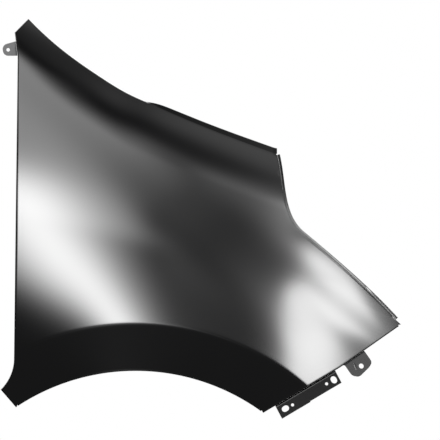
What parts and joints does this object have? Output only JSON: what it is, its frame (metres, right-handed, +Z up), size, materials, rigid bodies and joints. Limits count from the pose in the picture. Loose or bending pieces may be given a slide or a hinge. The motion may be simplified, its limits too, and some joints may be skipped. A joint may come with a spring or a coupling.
{
  "type": "vehicle front fender",
  "caption": "Right front fender of a van: a curved pressed steel panel with folded flanges and welded brackets for the bumper, headlamp and hinge pillar.",
  "frame": {"origin": "underside of the front bolt pad on the hood flange, 15 mm to the rear of its bolt hole along the pad", "axes": "+X to the front of the vehicle, +Y inboard, across the thickness of the panel, +Z up"},
  "size_m": [0.7447, 0.2114, 0.7439],
  "materials": {
    "panel_coat": "satin",
    "bracket_coat": "satin",
    "tab_coat": "satin"
  },
  "bodies": {
    "root": {"fender_panel": "panel_coat", "bumper_bracket": "bracket_coat", "headlamp_tab": "bracket_coat", "hinge_pillar_tab": "tab_coat"}
  },
  "joints": []
}
